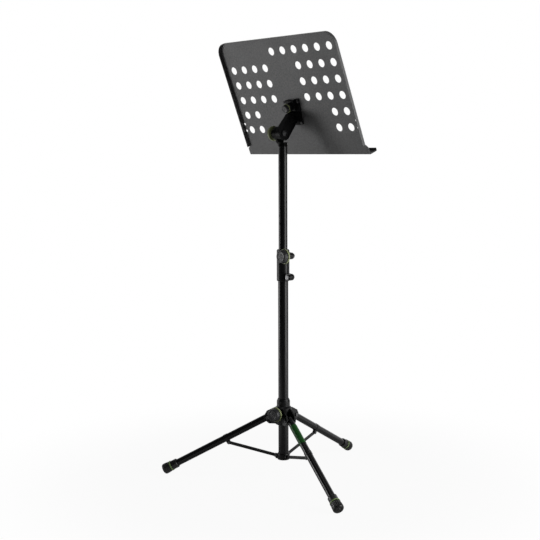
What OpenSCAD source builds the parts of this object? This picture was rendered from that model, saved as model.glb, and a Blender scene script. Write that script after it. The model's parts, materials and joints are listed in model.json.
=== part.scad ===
// Folding orchestral music stand: a perforated steel desk on a jointed arm, a telescopic
// column with a clamp clutch, and a tripod whose hub slides up the column to fold it.
// Millimetres, +Z up. The player sits on the -Y side and the back of the desk faces +Y.

/* [Desk] */
// Width of the desk at the lip
desk_w = 500; // [400:5:560]
// Height of the desk along its slope
desk_h = 350; // [320:5:380]
// Sheet thickness of the desk
desk_t = 1.5; // [1:0.25:2]
// Depth of the turned rim at the sides and top
rim_d = 11; // [8:0.5:16]
// How much wider the panel is below the rim, on each side
rim_step = 8; // [4:1:14]
// Radius of the two upper corners
corner_r = 36; // [20:1:60]
// Height of the plain band under the rim
skirt_h = 20; // [14:1:30]
// Outer radius of the sheet's bends
bend_r = 3; // [2.5:0.25:4]
// Depth of the lip that carries the sheets
lip_d = 29; // [24:1:45]
// Height of the turned-up front edge of the lip
lip_up = 9; // [8:1:16]
// Distance from the upper edge down to the top row of perforations
grid_drop = 40; // [36:1:46]
// Distance from a side to the middle of the outermost perforations
grid_margin = 43; // [40:1:60]
// Diameter of a perforation
hole_d = 23; // [12:1:28]
// Diameter of the accessory holes near the sides
clip_hole_d = 8; // [4:0.5:10]
// Height of the accessory holes above the lower edge
clip_up = 88; // [70:1:100]
// Distance between the two accessory holes of a pair
clip_pitch = 21; // [16:1:30]
// Distance of the accessory holes from the desk's edge below the rim
clip_in = 18; // [17:0.5:22]
// Slope of the desk, from upright
desk_tilt = 22; // [12:1:30]

/* [Arm and bracket] */
// Distance between the two pivots of the arm
arm_l = 50; // [46:1:80]
// Radius of the arm's lower eye
arm_r = 20.4; // [17:0.2:21]
// Radius of the arm's upper eye
arm_top_r = 18.6; // [15:0.2:19]
// Thickness of the arm
arm_t = 16; // [12:1:20]
// Lean of the arm towards the player, from upright
arm_lean = 38; // [30:1:45]
// Thickness of the bracket's ear
cheek_t = 4.6; // [4:0.2:6]
// Length of the neck's boss beside the arm
boss_l = 17.2; // [14:0.2:20]
// Thickness of a friction washer
washer_t = 0.8; // [0.5:0.1:1.5]
// Distance from the upper pivot to the back of the desk
pivot_gap = 20.5; // [20.5:0.5:24]
// Height of the upper pivot above the desk's lower edge
pivot_up = 116; // [110:1:125]
// Distance from the upper pivot up to the desk knob
desk_knob_up = 34; // [34:1:40]
// Reach of the bracket's upper end to the side without the ear
bracket_top_w = 34; // [28:1:36]
// Reach of the bracket's upper end to the side with the ear
bracket_top_in = 21.5; // [20:0.5:24]
// Half-width of the bracket's lower end
bracket_foot_w = 25; // [24:1:28]
// Thickness of the bracket's flange
flange_t = 3; // [2.5:0.25:4]

/* [Mast] */
// Outer diameter of the upper tube
upper_tube_d = 25.5; // [24:0.5:25.5]
// Length of the upper tube
upper_tube_l = 585; // [480:5:600]
// Length of upper tube standing out of the clutch
mast_out = 292; // [150:1:380]
// Wall of both column tubes
tube_wall = 1.5; // [1:0.1:1.6]
// Height of the arm's lower pivot above the upper tube
neck_h = 37; // [36:1:60]

/* [Column] */
// Outer diameter of the lower tube
lower_tube_d = 29.5; // [29.5:0.5:31]
// Length of the lower tube
lower_tube_l = 570; // [520:5:640]
// Height of the lower tube's foot above the floor
base_z = 57; // [50:1:64]
// Wall of the clutch sleeve
sleeve_wall = 3.5; // [3:0.25:4.5]
// Length of sleeve gripping the lower tube
sleeve_grip = 49; // [42:1:60]
// Length of sleeve above the lower tube
sleeve_top_l = 40; // [36:1:50]
// Diameter of a clamp ear
ear_d = 19; // [17:0.5:20]
// Length of a clamp ear along its bolt
ear_l = 15; // [13:0.5:16]
// Width of the clamp slot
slot_w = 2; // [1:0.5:3]

/* [Knobs] */
// Diameter of the coloured ring of a knob
ring_d = 42; // [40:0.5:44]
// Thickness of the coloured ring
ring_t = 4.6; // [4:0.2:5]
// Diameter of a knob at its grip
knob_d = 39; // [36:0.5:39.5]
// Length of a knob from its ring to its face
knob_l = 18; // [15:1:22]
// Length of the arm's knob from its ring to its face
arm_knob_l = 11.4; // [10.4:0.2:14]
// Length of a knob's foot, below the ring
knob_foot_l = 11; // [10:0.5:13]
// Size of the desk knob, as a share of the others
small_knob = 0.62; // [0.58:0.02:0.64]
// Diameter of the clamping bolts
bolt_d = 8; // [6:1:8]

/* [Tripod] */
// Length of a leg from its pivot to the end of its foot
leg_l = 354; // [330:1:400]
// Outer diameter of a leg
leg_d = 20; // [18:0.5:21]
// Wall of a leg tube
leg_wall = 1.2; // [1:0.1:2]
// Slope of an open leg below level
leg_drop = 28.4; // [26:0.1:31]
// Turn of the tripod about the column, against the desk
leg_turn = 12; // [0:0.1:30]
// Distance from the column's axis to a leg pivot
pivot_r = 45; // [44:1:50]
// Thickness of a hub ear
hub_ear_t = 3.5; // [3:0.25:4.5]
// Height of the hub's body
hub_h = 54; // [50:1:58]
// Length of the hub's collar
collar_l = 22; // [18:1:28]
// Diameter of a rubber foot at its end
foot_d = 31; // [29:0.5:34]
// Diameter of a rubber foot at its mouth
foot_mouth_d = 26.5; // [25:0.5:28]
// Length of a rubber foot
foot_l = 48; // [40:1:56]
// Rounding of a foot's end
foot_round = 6; // [4:0.5:8]
// Distance along a leg from its pivot to the brace lug
lug_s = 140; // [130:1:150]
// Width of a brace bar
brace_w = 9; // [8:0.5:9.5]
// Thickness of a brace bar
brace_t = 3; // [2:0.25:4]
// Distance from the column's axis to a brace pivot
brace_r = 23; // [23:0.5:26]
// Height of the brace pivots above the foot of the tube
brace_up = 9; // [8:1:12]
// Distance along the front leg to the start of the colour band
band_s = 28; // [26:1:40]
// Length of the colour band
band_l = 74; // [50:1:80]

/* [Hidden] */
$fn = 64;
big = 1000;
// Clearances: a running fit, a seat, a gap between parts that pass, and face to face
run = 0.08;
seat = 0.05;
pass = 0.4;
hub_run = 0.1;

GREEN = [0.42, 0.5, 0.18];
BAND_GREEN = [0.1, 0.35, 0.13];
BLACK = [0.05, 0.05, 0.055];
CHARCOAL = [0.13, 0.13, 0.14];
DESK_GREY = [0.2, 0.2, 0.205];
CAST_GREY = [0.16, 0.16, 0.165];
STEEL = [0.4, 0.4, 0.42];
RUBBER = [0.1, 0.1, 0.11];
NYLON = [0.3, 0.3, 0.3];

LEFT = 0;
RIGHT = 1;
FRONT = 2;
LEGS = [LEFT, RIGHT, FRONT];
function leg_az(i) = [30, 270, 150][i] + leg_turn;
hub_knob_az = leg_az(LEFT) + 60;

// Rows of the perforation pattern, from the top; x marks a hole
PATTERN = [
    "....xxxxxx",
    "xxxx..xxxx",
    "xxxx..xxxx",
    "xxxx..xxxx",
    "xx......xx",
    "xx......xx"
];

hole_pitch = (desk_w - 2 * grid_margin) / (len(PATTERN[0]) - 1);

// Radii on the column
tube_r = lower_tube_d / 2;
bore_r = tube_r - tube_wall;
mast_r = upper_tube_d / 2;
mast_bore_r = mast_r - tube_wall;
sleeve_r = tube_r + sleeve_wall;
ear_x = sleeve_r + ear_d / 2 + 1.2;
bolt_r = bolt_d / 2;
hex_r = bolt_d * 0.94;
hex_h = bolt_d / 2;

// Heights on the column
tube_top = base_z + lower_tube_l;
sleeve_z = tube_top - sleeve_grip;
sleeve_top = tube_top + sleeve_top_l;
bush_rim = 1.5;
mast_top = sleeve_top + bush_rim + mast_out;
arm_z = mast_top + neck_h;
clamp_z = sleeve_top - ear_d / 2 - 6;
lock_z = sleeve_z + ear_d / 2 + 3.3;

// The arm is held on one side at each end, and the bolt heads are sunk in its free side
joint_x = arm_t / 2 + washer_t + 2 * seat;
ear_out = joint_x + cheek_t;
neck_out = joint_x + boss_l;
neck_boss_r = arm_r - 1.4;
sunk_head = hex_h + washer_t + 2 * seat;
arm_y = -arm_l * sin(arm_lean);
desk_z = arm_z + arm_l * cos(arm_lean);

// A leg stands on the rounded rim of its foot
foot_r = foot_d / 2;
pivot_z = (leg_l - foot_round) * sin(leg_drop) + (foot_r - foot_round) * cos(leg_drop) + foot_round;
leg_r = leg_d / 2;
hub_ear_in = leg_r + pass;
hub_ear_out = hub_ear_in + hub_ear_t;
hub_z = pivot_z - hub_h * 0.38;
hub_screw_z = pivot_z + 14.5;
hub_body_r = pivot_r - leg_d - 1;
collar_r = tube_r + 4.4;
leg_pin_r = 3;

// The braces, from the base bracket to the lugs under the legs
strap_t = 2;
lug_t = 2.2;
lug_gap = brace_t / 2 + 0.2;
lug_out = lug_gap + lug_t;
lug_eye = brace_w / 2 + 0.8;
lug_drop = leg_r + brace_w / 2 + 1;
brace_pin_r = 2;
brace_z = base_z + brace_up;
lug_r = pivot_r + lug_s * cos(leg_drop) - lug_drop * sin(leg_drop);
lug_z = pivot_z - lug_s * sin(leg_drop) - lug_drop * cos(leg_drop);
brace_l = norm([lug_r - brace_r, lug_z - brace_z]);
brace_rise = atan2(lug_z - brace_z, lug_r - brace_r);
cup_r = brace_r - brace_w / 2 - 0.5;
cup_floor = 2.5;

// The column stands off the middle of the stand's box, because the legs reach unevenly
function foot_reach(az) =
    let (along = cos(az) * cos(leg_drop))
    pivot_r * cos(az) + (leg_l - foot_round) * along
    + (foot_r - foot_round) * sqrt(1 - along * along) + foot_round;
x_high = max(concat([for (i = LEGS) foot_reach(leg_az(i))], [desk_w / 2]));
x_low = max(concat([for (i = LEGS) foot_reach(leg_az(i) + 180)], [desk_w / 2]));
y_high = max([for (i = LEGS) foot_reach(leg_az(i) - 90)]);
y_low = max([for (i = LEGS) foot_reach(leg_az(i) + 90)]);
column_x = (x_low - x_high) / 2;
column_y = (y_low - y_high) / 2;

// ---- Frames: each puts its children where a sub-assembly sits ----

module at_column() {
    translate([column_x, column_y, 0]) children();
}

// x points out along a leg's azimuth
module at_azimuth(az) {
    at_column() rotate([0, 0, az]) children();
}

// z runs down the leg from its pivot, x points under it
module at_leg(i) {
    at_azimuth(leg_az(i)) translate([pivot_r, 0, pivot_z]) rotate([0, 90 + leg_drop, 0]) children();
}

// x runs along the brace from its inner pivot
module at_brace(i) {
    at_azimuth(leg_az(i)) translate([brace_r, 0, brace_z]) rotate([0, -brace_rise, 0]) children();
}

// z runs up the arm from the fork pivot
module at_arm() {
    at_column() translate([0, 0, arm_z]) rotate([arm_lean, 0, 0]) children();
}

// Origin at the upper pivot, y up the desk, z towards the player
module at_desk() {
    at_column() translate([0, arm_y, desk_z]) rotate([90 - desk_tilt, 0, 0]) children();
}

// z along a clamp bolt, towards the back
module at_clamp(z) {
    at_column() translate([-ear_x, 0, z]) rotate([-90, 0, 0]) children();
}

// z out of the hub along its locking screw
module at_hub_screw() {
    at_azimuth(hub_knob_az) translate([0, 0, hub_screw_z]) rotate([0, 90, 0]) children();
}

// z out of the neck along the arm's lower bolt, towards +X
module at_arm_bolt() {
    at_column() translate([0, 0, arm_z]) rotate([0, 90, 0]) children();
}

// z out of the back of the desk along its stud
module at_stud() {
    at_desk() translate([0, desk_knob_up, pivot_gap]) rotate([180, 0, 0]) children();
}

// ---- Shared shapes ----

module tube(r_out, r_in, h) {
    difference() {
        cylinder(r = r_out, h = h);
        translate([0, 0, -1]) cylinder(r = r_in, h = h + 2);
    }
}

// Two eyes joined by their tangents, the second one l up the y axis
module link2d(r1, r2, l) {
    a = asin((r1 - r2) / l);
    circle(r = r1);
    translate([0, l]) circle(r = r2);
    polygon([
        [-r1 * cos(a), r1 * sin(a)], [r1 * cos(a), r1 * sin(a)],
        [r2 * cos(a), l + r2 * sin(a)], [-r2 * cos(a), l + r2 * sin(a)]
    ]);
}

// A flat plate across X, from x = a to x = b, with its outline given in Y and Z
module plate_x(a, b) {
    translate([a, 0, 0]) rotate([90, 0, 90]) linear_extrude(b - a) children();
}

// A flat plate across Y, from y = a to y = b, with its outline given in X and Z
module plate_y(a, b) {
    translate([0, b, 0]) rotate([90, 0, 0]) linear_extrude(b - a) children();
}

module both_sides_y() {
    children();
    mirror([0, 1, 0]) children();
}

module both_sides_x() {
    children();
    mirror([1, 0, 0]) children();
}

// A hexagon head or nut standing on z = 0
module hexagon(r, h) {
    cylinder(r = r, h = h, $fn = 6);
}

// ---- Knobs: foot at z = 0, face at the far end; k sizes the outside ----

foot_r_share = 0.81;
core_share = 0.72;
face_share = 0.87;
face_step = 0.8;
flutes = 10;

module knob_grip(k, foot_end_r, r_bolt, l = knob_l, foot_share = foot_r_share) {
    r_foot = k * ring_d / 2 * foot_share;
    r_core = k * ring_d / 2 * core_share;
    r_grip = k * knob_d / 2;
    r_face = r_grip * face_share;
    z_ring = k * knob_foot_l;
    z_grip = z_ring + ring_t * k;
    z_face = z_ring + l * k;
    edge = 1.6 * k;
    difference() {
        rotate_extrude() polygon([
            [0, 0], [foot_end_r, 0], [r_foot, z_ring * 0.75], [r_foot, z_ring],
            [r_core, z_ring], [r_core, z_grip + seat], [r_grip - edge / 2, z_grip + seat],
            [r_grip, z_grip + edge], [r_grip, z_grip + 2 * edge],
            [r_face + edge * 0.5, z_face - edge], [r_face - edge * 0.5, z_face],
            [r_face * 0.8, z_face], [r_face * 0.74, z_face - face_step],
            [r_face * 0.42, z_face - face_step], [r_face * 0.36, z_face], [0, z_face]
        ]);
        for (n = [0:flutes - 1])
            rotate([0, 0, n * 360 / flutes])
                translate([r_grip + 2.4 * k, 0, z_grip + edge])
                    cylinder(r = 3.4 * k, h = l * k);
        translate([0, 0, -1]) cylinder(r = r_bolt + run, h = z_ring + 8 * k + 1);
    }
}

module knob_ring(k) {
    translate([0, 0, k * knob_foot_l])
        tube(k * ring_d / 2, k * ring_d / 2 * core_share + seat, ring_t * k);
}

// ---- Column ----

module lower_tube() {
    color(BLACK) at_column() translate([0, 0, base_z]) tube(tube_r, bore_r, lower_tube_l);
}

module base_bracket() {
    cup_top = brace_z + brace_w / 2 + 2;
    color(CHARCOAL) at_column() difference() {
        union() {
            translate([0, 0, base_z - cup_floor])
                rotate_extrude() polygon([
                    [0, 0], [cup_r - 1.5, 0], [cup_r, 1.5], [cup_r, cup_top - base_z],
                    [cup_r - 1, cup_top - base_z + cup_floor], [0, cup_top - base_z + cup_floor]
                ]);
            for (i = LEGS)
                rotate([0, 0, leg_az(i)]) both_sides_y() plate_y(lug_gap, lug_out) union() {
                    translate([brace_r, brace_z]) circle(r = lug_eye);
                    translate([tube_r + 1.4, base_z])
                        square([brace_r - tube_r - 1.4, brace_z + lug_eye - base_z - 0.6]);
                }
        }
        translate([0, 0, base_z]) cylinder(r = tube_r + seat, h = big);
        for (i = LEGS)
            rotate([0, 0, leg_az(i)]) translate([brace_r, 0, brace_z])
                rotate([90, 0, 0]) cylinder(r = brace_pin_r + seat, h = big, center = true);
    }
}

// A pin through two lug ears, with a flat head at each end
module pin_y() {
    head = 1.4;
    reach = lug_out + seat;
    rotate([90, 0, 0]) cylinder(r = brace_pin_r, h = 2 * reach, center = true);
    both_sides_y() translate([0, reach + head, 0]) rotate([90, 0, 0])
        cylinder(r = brace_pin_r + 1.7, h = head);
}

module base_pins() {
    color(STEEL) for (i = LEGS)
        at_azimuth(leg_az(i)) translate([brace_r, 0, brace_z]) pin_y();
}

// The sleeve's clamp ear: an eye beside the tube on a web that spreads towards it
module clamp_ear(z) {
    web = ear_d / 2 - 0.7;
    spread = ear_d / 2 + 2.5;
    translate([-ear_x, 0, z]) plate_y(-ear_l / 2, ear_l / 2) {
        circle(r = ear_d / 2);
        polygon([[0, -web], [ear_x - tube_r / 2, -spread], [ear_x - tube_r / 2, spread], [0, web]]);
    }
}

module clutch_sleeve() {
    chamfer = 1.5;
    len = sleeve_top - sleeve_z;
    color(CHARCOAL) at_column() difference() {
        union() {
            translate([0, 0, sleeve_z]) rotate_extrude() polygon([
                [0, 0], [sleeve_r - chamfer, 0], [sleeve_r, chamfer],
                [sleeve_r, len - chamfer], [sleeve_r - chamfer, len], [0, len]
            ]);
            intersection() {
                union() {
                    clamp_ear(clamp_z);
                    clamp_ear(lock_z);
                }
                translate([-big / 2, -big / 2, sleeve_z + 2.2]) cube([big, big, len - 4.4]);
            }
        }
        translate([0, 0, sleeve_z - 1]) cylinder(r = tube_r + seat, h = len + 2);
        translate([-big, -slot_w / 2, sleeve_z - 1]) cube([big, slot_w, len + 2]);
        for (z = [clamp_z, lock_z])
            translate([-ear_x, 0, z]) rotate([90, 0, 0])
                cylinder(r = bolt_r + seat, h = big, center = true);
    }
}

// Split liner that takes up the room between the sleeve and the upper tube
module clutch_bush() {
    color(NYLON) at_column() difference() {
        union() {
            translate([0, 0, tube_top]) cylinder(r = tube_r, h = sleeve_top_l + bush_rim);
            translate([0, 0, sleeve_top]) cylinder(r = sleeve_r - 1.5, h = bush_rim);
        }
        translate([0, 0, tube_top - 1]) cylinder(r = mast_r + run, h = sleeve_top_l + bush_rim + 2);
        translate([-big, -slot_w / 2, tube_top - 1]) cube([big, slot_w, sleeve_top_l + bush_rim + 2]);
    }
}

nut_face = ear_l / 2 + seat;

module lock_bolt() {
    color(STEEL) at_clamp(lock_z) {
        translate([0, 0, nut_face]) hexagon(hex_r, hex_h + 1);
        translate([0, 0, -nut_face - hex_h - 2]) cylinder(r = bolt_r, h = 2 * nut_face + hex_h + 2);
    }
}

module lock_nut() {
    color(STEEL) at_clamp(lock_z) translate([0, 0, -nut_face - hex_h]) difference() {
        hexagon(hex_r, hex_h);
        translate([0, 0, -1]) cylinder(r = bolt_r + seat, h = hex_h + 2);
    }
}

knob_base = ear_l / 2 + pass;

module clutch_bolt() {
    color(STEEL) at_clamp(clamp_z) {
        translate([0, 0, -nut_face - hex_h - 1]) hexagon(hex_r, hex_h + 1);
        translate([0, 0, -nut_face]) cylinder(r = bolt_r, h = nut_face + knob_base + knob_foot_l + 6);
    }
}

module clutch_knob() {
    color(CHARCOAL) at_clamp(clamp_z) translate([0, 0, knob_base])
        knob_grip(1, ear_d / 2 + 1.5, bolt_r);
}

module clutch_ring() {
    color(GREEN) at_clamp(clamp_z) translate([0, 0, knob_base]) knob_ring(1);
}

// ---- Hub and legs ----

hub_top = hub_z + hub_h;
boss_r = 13;
boss_reach = hub_body_r + 1.4;

// Outline of a hub ear, out from the column and up from the leg pivot
module hub_ear2d() {
    translate([pivot_r, pivot_z]) circle(r = leg_r + 1);
    polygon([
        [tube_r + 1.7, hub_z + 3.5], [pivot_r - 4, hub_z + 3.5], [pivot_r + leg_r * 0.6, pivot_z - leg_r * 0.85],
        [pivot_r + leg_r + 1, pivot_z], [pivot_r + leg_r + 1, pivot_z + 4],
        [pivot_r + leg_r - 5, pivot_z + 14], [hub_body_r + 1, hub_top - 7], [tube_r + 1.7, hub_top - 7]
    ]);
}

module leg_hub() {
    collar_top = hub_top + collar_l;
    color(CHARCOAL) at_column() difference() {
        union() {
            rotate_extrude() polygon([
                [0, hub_z], [hub_body_r - 2, hub_z], [hub_body_r, hub_z + 2],
                [hub_body_r, hub_top - 5], [collar_r, hub_top],
                [collar_r, collar_top - 7.5], [collar_r - 1, collar_top - 5],
                [tube_r + 1.4, collar_top], [0, collar_top]
            ]);
            for (i = LEGS)
                rotate([0, 0, leg_az(i)]) both_sides_y() plate_y(hub_ear_in, hub_ear_out) hub_ear2d();
            rotate([0, 0, hub_knob_az]) translate([0, 0, hub_screw_z]) rotate([0, 90, 0])
                cylinder(r = boss_r, h = boss_reach);
        }
        translate([0, 0, hub_z - 1]) cylinder(r = tube_r + hub_run, h = big);
        for (i = LEGS)
            rotate([0, 0, leg_az(i)]) translate([pivot_r, 0, pivot_z])
                rotate([90, 0, 0]) cylinder(r = leg_pin_r + seat, h = big, center = true);
        rotate([0, 0, hub_knob_az]) translate([0, 0, hub_screw_z]) rotate([0, 90, 0])
            cylinder(r = bolt_r + run, h = big);
    }
}

// Each ear holds its own shouldered pin, with a domed hexagon outside
module leg_pins() {
    color(STEEL) for (i = LEGS)
        at_azimuth(leg_az(i)) translate([pivot_r, 0, pivot_z]) both_sides_y() {
            translate([0, hub_ear_out + seat, 0]) rotate([90, 0, 0])
                cylinder(r = leg_pin_r, h = hub_ear_t);
            translate([0, hub_ear_out + seat + 3, 0]) rotate([90, 0, 0]) hexagon(leg_pin_r + 2.6, 3);
        }
}

module hub_knob() {
    color(CHARCOAL) at_hub_screw() translate([0, 0, boss_reach + pass]) knob_grip(1, boss_r, bolt_r + seat - run);
}

module hub_ring() {
    color(GREEN) at_hub_screw() translate([0, 0, boss_reach + pass]) knob_ring(1);
}

// The screw is moulded into the knob and its tip presses on the tube
module hub_screw() {
    color(STEEL) at_hub_screw() translate([0, 0, tube_r + 0.2])
        cylinder(r = bolt_r, h = boss_reach + pass + knob_foot_l + 6 - tube_r);
}

module brace(i) {
    color(BLACK) at_brace(i) difference() {
        plate_y(-brace_t / 2, brace_t / 2) rotate(-90) link2d(brace_w / 2, brace_w / 2, brace_l);
        for (x = [0, brace_l])
            translate([x, 0, 0]) rotate([90, 0, 0])
                cylinder(r = brace_pin_r + run, h = big, center = true);
    }
}

// Rounds the top of a leg about its pivot and drills it
module leg_top_cut() {
    difference() {
        intersection() {
            children();
            union() {
                rotate([90, 0, 0]) cylinder(r = leg_r, h = big, center = true);
                translate([-big / 2, -big / 2, 0]) cube(big);
            }
        }
        rotate([90, 0, 0]) cylinder(r = leg_pin_r + run, h = big, center = true);
    }
}

foot_floor = 9;

module leg_tube(i) {
    color(BLACK) at_leg(i) leg_top_cut()
        translate([0, 0, -leg_r - 1]) tube(leg_r, leg_r - leg_wall, leg_l - foot_floor + leg_r + 1);
}

module leg_plug(i) {
    color(NYLON) at_leg(i) leg_top_cut()
        translate([0, 0, -leg_r - 1]) cylinder(r = leg_r - leg_wall - seat, h = leg_r + 24);
}

module foot(i) {
    mouth_r = foot_mouth_d / 2;
    ring_z = leg_l - foot_l * 0.6;
    color(RUBBER) at_leg(i) difference() {
        rotate_extrude() union() {
            polygon([
                [0, leg_l - foot_l], [mouth_r - 1.2, leg_l - foot_l], [mouth_r, leg_l - foot_l + 1.5],
                [foot_r, leg_l - foot_l * 0.3], [foot_r, leg_l - foot_round],
                [foot_r - foot_round, leg_l], [0, leg_l]
            ]);
            translate([foot_r - foot_round, leg_l - foot_round]) circle(r = foot_round);
        }
        translate([0, 0, leg_l - foot_l - 1]) cylinder(r = leg_r + seat, h = foot_l - foot_floor + 1 + seat);
        translate([0, 0, ring_z]) tube(big / 2, mouth_r - 0.8, foot_ring_t + 2 * seat);
    }
}

foot_ring_t = 3;

module foot_ring(i) {
    color(GREEN) at_leg(i) translate([0, 0, leg_l - foot_l * 0.6 + seat])
        tube(foot_mouth_d / 2 + 1.7, foot_mouth_d / 2 - 0.8 + seat, foot_ring_t);
}

// A strap round the leg, pinched into two ears that hang under it
module brace_lug(i) {
    half = lug_eye + 3.5;
    color(BLACK) at_leg(i) difference() {
        union() {
            translate([0, 0, lug_s - half]) cylinder(r = leg_r + seat + strap_t, h = 2 * half);
            both_sides_y() plate_y(lug_gap, lug_out) union() {
                translate([lug_drop, lug_s]) circle(r = lug_eye);
                polygon([
                    [0, lug_s - half], [leg_r + strap_t, lug_s - half], [lug_drop, lug_s - lug_eye],
                    [lug_drop, lug_s + lug_eye], [leg_r + strap_t, lug_s + half], [0, lug_s + half]
                ]);
            }
        }
        cylinder(r = leg_r + seat, h = big);
        translate([0, -lug_gap, lug_s - big / 2]) cube([big, 2 * lug_gap, big]);
        translate([lug_drop, 0, lug_s]) rotate([90, 0, 0])
            cylinder(r = brace_pin_r + seat, h = big, center = true);
    }
}

module lug_pin(i) {
    color(STEEL) at_leg(i) translate([lug_drop, 0, lug_s]) pin_y();
}

module leg_band() {
    color(BAND_GREEN) at_leg(FRONT) translate([0, 0, band_s]) tube(leg_r + 0.4, leg_r + 0.02, band_l);
}

// ---- Mast ----

mast_foot = mast_top - upper_tube_l;
bush_l = 9;
spindle_r = 7;

module upper_tube() {
    color(BLACK) at_column() translate([0, 0, mast_foot]) tube(mast_r, mast_bore_r, upper_tube_l);
}

// Closes the foot of the upper tube and carries the guide bush on a spindle
module mast_plug() {
    color(NYLON) at_column() translate([0, 0, mast_foot]) {
        cylinder(r = mast_bore_r - seat, h = 22);
        translate([0, 0, -bush_l - 0.4]) cylinder(r = spindle_r, h = bush_l + 0.4);
        translate([0, 0, -bush_l - 3]) cylinder(r = spindle_r + 3.5, h = 2.6);
    }
}

module guide_bush() {
    color(NYLON) at_column() translate([0, 0, mast_foot - bush_l - 0.2])
        tube(bore_r - run, spindle_r + run, bush_l);
}

// The neck rises beside the arm on the +X side and ends in the boss that holds its bolt
module mast_head() {
    flange = 3;
    web_t = 8;
    rib_t = 14;
    foot_z = flange + 1 - neck_h;
    shoulder_z = -arm_r - 4.8;
    color(CAST_GREY) at_column() translate([0, 0, arm_z]) difference() {
        union() {
            translate([0, 0, -neck_h - 28]) cylinder(r = mast_bore_r - seat, h = 29);
            rotate_extrude() polygon([
                [0, seat - neck_h], [mast_r + 0.3, seat - neck_h], [mast_r + 1, 1 - neck_h],
                [mast_r + 1, flange - neck_h], [mast_r - 0.6, flange + 1 - neck_h],
                [mast_r - 0.6, flange + 5 - neck_h], [mast_r + 0.6, shoulder_z], [0, shoulder_z]
            ]);
            intersection() {
                plate_x(joint_x, joint_x + web_t) rotate(180)
                    link2d(neck_boss_r, mast_r - 1, neck_h - flange - mast_r - 1);
                translate([-big / 2, -big / 2, shoulder_z - 1]) cube(big);
            }
            plate_y(-rib_t / 2, rib_t / 2) polygon([
                [0, foot_z], [mast_r - 0.6, foot_z], [neck_out - 1.5, -neck_boss_r + 3],
                [neck_out - 1.5, 0], [joint_x, 0], [joint_x, shoulder_z], [0, shoulder_z]
            ]);
            translate([joint_x, 0, 0]) rotate([0, 90, 0]) cylinder(r = neck_boss_r, h = boss_l);
        }
        rotate([0, 90, 0]) cylinder(r = bolt_r + seat, h = big);
    }
}

module arm_bolt() {
    color(STEEL) at_arm_bolt() {
        translate([0, 0, -arm_t / 2]) hexagon(hex_r, hex_h);
        translate([0, 0, -arm_t / 2]) cylinder(r = bolt_r, h = arm_t / 2 + neck_out + pass + knob_foot_l + 6);
    }
}

// Friction washers of a bolt along x: between the arm and what holds it, and under the head
module washer_pair() {
    translate([arm_t / 2 + seat, 0, 0]) rotate([0, 90, 0])
        tube(bolt_r + 6.5, bolt_r + seat, washer_t);
    translate([-arm_t / 2 + hex_h + seat, 0, 0]) rotate([0, 90, 0])
        tube(hex_r + 0.4, bolt_r + seat, washer_t);
}

module arm_washers() {
    color(NYLON) at_arm() washer_pair();
}

// ---- Arm and desk ----

module arm() {
    rim = 3;
    pocket = 2;
    color(BLACK) at_arm() difference() {
        union() {
            difference() {
                plate_x(-arm_t / 2, arm_t / 2) link2d(arm_r, arm_top_r, arm_l);
                both_sides_x() plate_x(arm_t / 2 - pocket, arm_t)
                    link2d(arm_r - rim, arm_top_r - rim, arm_l);
            }
            for (z = [0, arm_l])
                translate([-arm_t / 2, 0, z]) rotate([0, 90, 0]) cylinder(r = bolt_r + 7, h = arm_t);
        }
        for (z = [0, arm_l])
            translate([0, 0, z]) rotate([0, 90, 0]) {
                cylinder(r = bolt_r + run, h = big, center = true);
                translate([0, 0, -arm_t]) cylinder(r = hex_r + 1, h = arm_t / 2 + sunk_head);
            }
    }
}

module arm_knob() {
    color(CHARCOAL) at_arm_bolt() translate([0, 0, neck_out + pass])
        knob_grip(1, 13, bolt_r, arm_knob_l, 0.55);
}

module arm_ring() {
    color(GREEN) at_arm_bolt() translate([0, 0, neck_out + pass]) knob_ring(1);
}

// Half-width of the panel between the rims, and heights in the desk's own frame
panel_w = desk_w / 2 - rim_step;
sheet_z = pivot_gap;
lower_y = -pivot_up;
upper_y = desk_h - pivot_up;
rim_foot_y = lower_y + skirt_h + rim_step;
top_row_y = upper_y - grid_drop;

// Upper outline of the panel with round corners, taken in by inset
module panel2d(inset) {
    w = panel_w - inset;
    r = corner_r - inset;
    top = upper_y - inset;
    both_sides_x() {
        translate([-0.01, rim_foot_y]) square([w + 0.01, top - r - rim_foot_y]);
        translate([-0.01, top - r - 0.01]) square([w - r + 0.01, r + 0.01]);
        translate([w - r, top - r]) circle(r = r);
    }
}

// What a bend takes off a square corner, in the corner's own quadrant
module bend_cut2d() {
    difference() {
        translate([0, 0]) square(bend_r + 1);
        circle(r = bend_r);
    }
}

// Rounds the panel's front edge into the rim, along the sides, corners and top
module rim_bend() {
    z = sheet_z + desk_t - bend_r;
    straight = upper_y - corner_r - rim_foot_y;
    both_sides_x() {
        translate([panel_w - bend_r, rim_foot_y + straight, z]) rotate([90, 0, 0])
            linear_extrude(straight) bend_cut2d();
        translate([panel_w - corner_r, upper_y - corner_r, z]) rotate_extrude(angle = 90)
            translate([corner_r - bend_r, 0]) bend_cut2d();
        translate([0, upper_y - bend_r, z]) rotate([90, 0, 90])
            linear_extrude(panel_w - corner_r) bend_cut2d();
    }
}

// A quarter ring of sheet, centred on the bend
module bend2d(from) {
    rotate(from) intersection() {
        difference() {
            circle(r = bend_r);
            circle(r = bend_r - desk_t);
        }
        square(bend_r);
    }
}

// Section of the lip: depth along x from the desk's back, height along y
module lip2d() {
    translate([0, bend_r]) square([desk_t, skirt_h - bend_r]);
    translate([bend_r, bend_r]) bend2d(180);
    translate([bend_r, 0]) square([lip_d - 2 * bend_r, desk_t]);
    translate([lip_d - bend_r, bend_r]) bend2d(270);
    translate([lip_d - desk_t, bend_r]) square([desk_t, lip_up - bend_r - desk_t / 2]);
    translate([lip_d - desk_t / 2, lip_up - desk_t / 2]) circle(r = desk_t / 2);
}

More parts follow.
